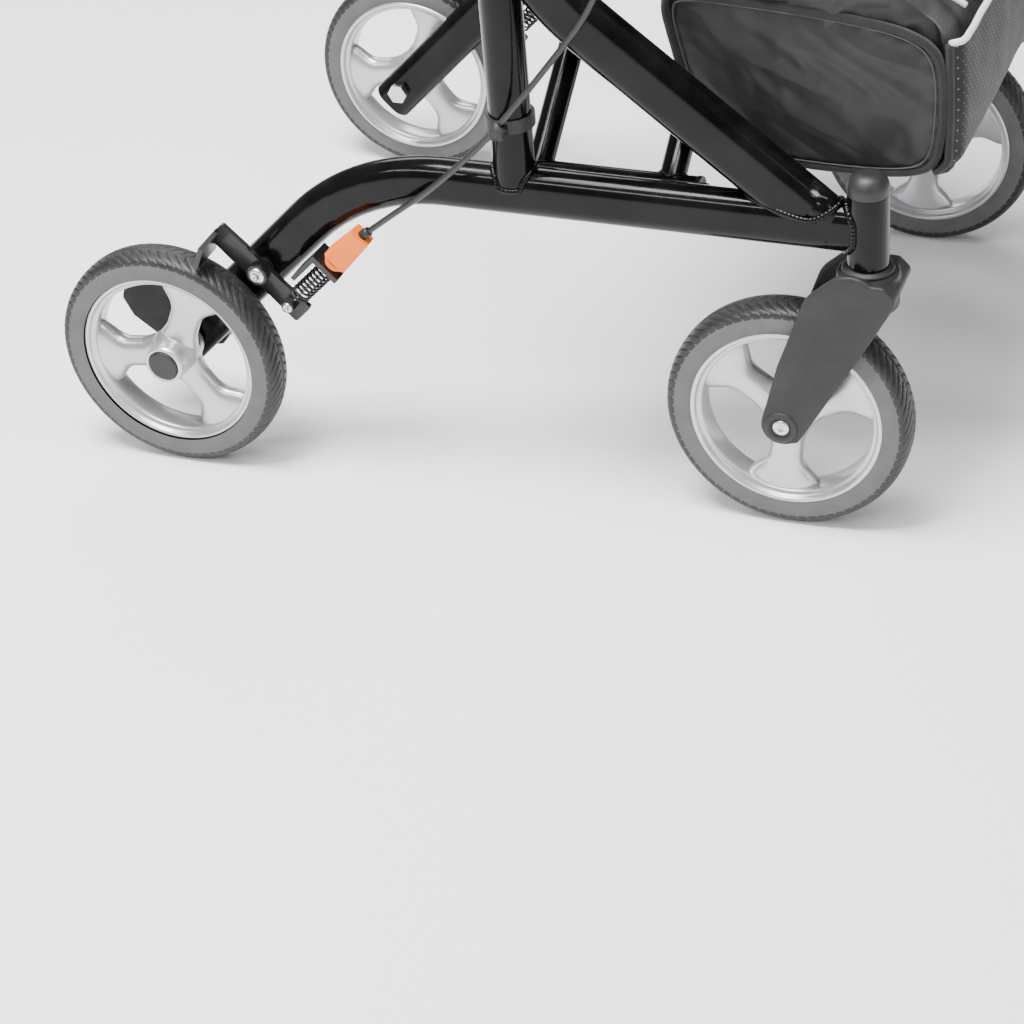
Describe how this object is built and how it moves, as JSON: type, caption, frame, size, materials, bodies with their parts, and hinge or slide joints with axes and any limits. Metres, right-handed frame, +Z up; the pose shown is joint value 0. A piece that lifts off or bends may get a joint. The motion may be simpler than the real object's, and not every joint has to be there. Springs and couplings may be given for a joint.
{
  "type": "rolling walker with seat",
  "caption": "Side-folding walker on wheels with an X-brace, swivel casters, loop brakes, folding seat, back strap, storage bag and curb pedal.",
  "frame": {"origin": "centre of the bounding box on the floor", "axes": "+X forward to the casters, +Y to the user's left, +Z up"},
  "size_m": [0.76, 0.598, 0.9138],
  "materials": {
    "frame_paint": "gloss black paint",
    "bracket_paint": "gloss black paint",
    "black_plastic": "matte",
    "bolt_steel": "zinc plated",
    "spring_steel": "black",
    "rim_silver": "silver",
    "tyre_grey": "grey rubber",
    "orange_plastic": "orange",
    "cable_black": "black jacket",
    "grip_rubber": "black",
    "lever_plastic": "black",
    "seat_pad": "black padded fabric",
    "strap_web": "black webbing",
    "bag_nylon": "black nylon"
  },
  "bodies": {
    "frame_right": {"lower_rail_right": "frame_paint", "main_tube_right": "frame_paint", "upright_leg_right": "frame_paint", "head_tube_right": "frame_paint", "head_cap_right": "black_plastic", "rear_axle_right": "bolt_steel", "brake_bracket_right": "bracket_paint", "brake_adjuster_right": "orange_plastic", "brake_cable_right": "cable_black", "cable_clip_right": "black_plastic", "handle_collar_right": "black_plastic", "pivot_mount_right": "bracket_paint", "seat_saddle_right": "black_plastic", "curb_pedal": "black_plastic", "storage_bag": "bag_nylon", "back_strap": "seat_pad"},
    "caster_right": {"caster_fork_right": "black_plastic"},
    "front_wheel_right": {"front_tyre_right": "tyre_grey", "front_rim_right": "rim_silver"},
    "rear_wheel_right": {"rear_tyre_right": "tyre_grey", "rear_rim_right": "rim_silver"},
    "brake_arm_right": {"brake_arm_right": "bracket_paint", "brake_spring_right": "spring_steel"},
    "handle_right": {"handle_tube_right": "frame_paint", "hand_grip_right": "grip_rubber", "lever_mount_right": "black_plastic"},
    "brake_lever_right": {"brake_lever_right": "lever_plastic"},
    "height_knob_right": {"height_knob_right": "black_plastic"},
    "frame_left": {"lower_rail_left": "frame_paint", "main_tube_left": "frame_paint", "upright_leg_left": "frame_paint", "head_tube_left": "frame_paint", "head_cap_left": "black_plastic", "rear_axle_left": "bolt_steel", "brake_bracket_left": "bracket_paint", "brake_adjuster_left": "orange_plastic", "brake_cable_left": "cable_black", "cable_clip_left": "black_plastic", "handle_collar_left": "black_plastic", "pivot_mount_left": "bracket_paint", "seat_saddle_left": "black_plastic"},
    "caster_left": {"caster_fork_left": "black_plastic"},
    "front_wheel_left": {"front_tyre_left": "tyre_grey", "front_rim_left": "rim_silver"},
    "rear_wheel_left": {"rear_tyre_left": "tyre_grey", "rear_rim_left": "rim_silver"},
    "brake_arm_left": {"brake_arm_left": "bracket_paint", "brake_spring_left": "spring_steel"},
    "handle_left": {"handle_tube_left": "frame_paint", "hand_grip_left": "grip_rubber", "lever_mount_left": "black_plastic"},
    "brake_lever_left": {"brake_lever_left": "lever_plastic"},
    "height_knob_left": {"height_knob_left": "black_plastic"},
    "brace_a": {"brace_a": "frame_paint", "centre_bolts": "bolt_steel"},
    "brace_b": {"brace_b": "frame_paint"},
    "seat_right": {"seat_right": "seat_pad", "seat_web": "strap_web"},
    "seat_left": {"seat_left": "seat_pad"}
  },
  "joints": [
    {"name": "fold", "type": "hinge", "parent": "frame_right", "child": "brace_a", "pos_m": [0.088, -0.209, 0.271], "axis": [1, 0, 0], "range_deg": [0, 42], "deforming": ["storage_bag", "back_strap"]},
    {"name": "brace_cross", "type": "hinge", "parent": "brace_a", "child": "brace_b", "pos_m": [0.088, 0, 0.422], "axis": [1, 0, 0], "range_deg": [-84, 0]},
    {"name": "frame_left_pivot", "type": "hinge", "parent": "brace_b", "child": "frame_left", "pos_m": [0.088, 0.209, 0.271], "axis": [1, 0, 0], "range_deg": [0, 42]},
    {"name": "seat_left_fold", "type": "hinge", "parent": "brace_a", "child": "seat_left", "pos_m": [0.1, 0.209, 0.573], "axis": [1, 0, 0], "range_deg": [-130.21, 0]},
    {"name": "seat_right_fold", "type": "hinge", "parent": "brace_b", "child": "seat_right", "pos_m": [0.1, -0.209, 0.573], "axis": [1, 0, 0], "range_deg": [0, 130.21], "deforming": ["seat_web"]},
    {"name": "caster_swivel_right", "type": "hinge", "parent": "frame_right", "child": "caster_right", "pos_m": [0.308, -0.237, 0.27], "axis": [0, 0, 1], "continuous": true},
    {"name": "front_wheel_spin_right", "type": "hinge", "parent": "caster_right", "child": "front_wheel_right", "pos_m": [0.245, -0.237, 0.1], "axis": [0, 1, 0], "continuous": true},
    {"name": "rear_wheel_spin_right", "type": "hinge", "parent": "frame_right", "child": "rear_wheel_right", "pos_m": [-0.28, -0.275, 0.1], "axis": [0, 1, 0], "continuous": true},
    {"name": "handle_height_right", "type": "slide", "parent": "frame_right", "child": "handle_right", "axis": [-0.1392, 0, 0.9903], "range_m": [-0.04, 0.04], "deforming": ["brake_cable_right"]},
    {"name": "brake_lever_pivot_right", "type": "hinge", "parent": "handle_right", "child": "brake_lever_right", "pos_m": [-0.084, -0.237, 0.866], "axis": [0, 1, 0], "range_deg": [0, 12], "stiffness_Nm_per_rad": 1, "springref_deg": -11.46},
    {"name": "brake_arm_pivot_right", "type": "hinge", "parent": "frame_right", "child": "brake_arm_right", "pos_m": [-0.1965, -0.259, 0.1805], "axis": [0, -1, 0], "range_deg": [0, 3.2], "deforming": ["brake_spring_right"]},
    {"name": "height_knob_turn_right", "type": "hinge", "parent": "frame_right", "child": "height_knob_right", "pos_m": [-0.00281, -0.237, 0.73287], "axis": [-0.9903, 0, -0.1392], "continuous": true},
    {"name": "caster_swivel_left", "type": "hinge", "parent": "frame_left", "child": "caster_left", "pos_m": [0.308, 0.237, 0.27], "axis": [0, 0, 1], "continuous": true},
    {"name": "front_wheel_spin_left", "type": "hinge", "parent": "caster_left", "child": "front_wheel_left", "pos_m": [0.245, 0.237, 0.1], "axis": [0, 1, 0], "continuous": true},
    {"name": "rear_wheel_spin_left", "type": "hinge", "parent": "frame_left", "child": "rear_wheel_left", "pos_m": [-0.28, 0.275, 0.1], "axis": [0, 1, 0], "continuous": true},
    {"name": "handle_height_left", "type": "slide", "parent": "frame_left", "child": "handle_left", "axis": [-0.1392, 0, 0.9903], "range_m": [-0.04, 0.04], "deforming": ["brake_cable_left"]},
    {"name": "brake_lever_pivot_left", "type": "hinge", "parent": "handle_left", "child": "brake_lever_left", "pos_m": [-0.084, 0.237, 0.866], "axis": [0, 1, 0], "range_deg": [0, 12], "stiffness_Nm_per_rad": 1, "springref_deg": -11.46},
    {"name": "brake_arm_pivot_left", "type": "hinge", "parent": "frame_left", "child": "brake_arm_left", "pos_m": [-0.1965, 0.259, 0.1805], "axis": [0, -1, 0], "range_deg": [0, 3.2], "deforming": ["brake_spring_left"]},
    {"name": "height_knob_turn_left", "type": "hinge", "parent": "frame_left", "child": "height_knob_left", "pos_m": [-0.00281, 0.237, 0.73287], "axis": [-0.9903, 0, -0.1392], "continuous": true}
  ],
  "couplings": [
    {"joint": "brace_cross", "follows": "fold", "ratio": -2},
    {"joint": "frame_left_pivot", "follows": "fold", "ratio": 1},
    {"joint": "seat_left_fold", "follows": "fold", "ratio": -3.1},
    {"joint": "seat_right_fold", "follows": "fold", "ratio": 3.1},
    {"joint": "brake_arm_pivot_right", "follows": "brake_lever_pivot_right", "ratio": 0.26},
    {"joint": "brake_arm_pivot_left", "follows": "brake_lever_pivot_left", "ratio": 0.26}
  ]
}
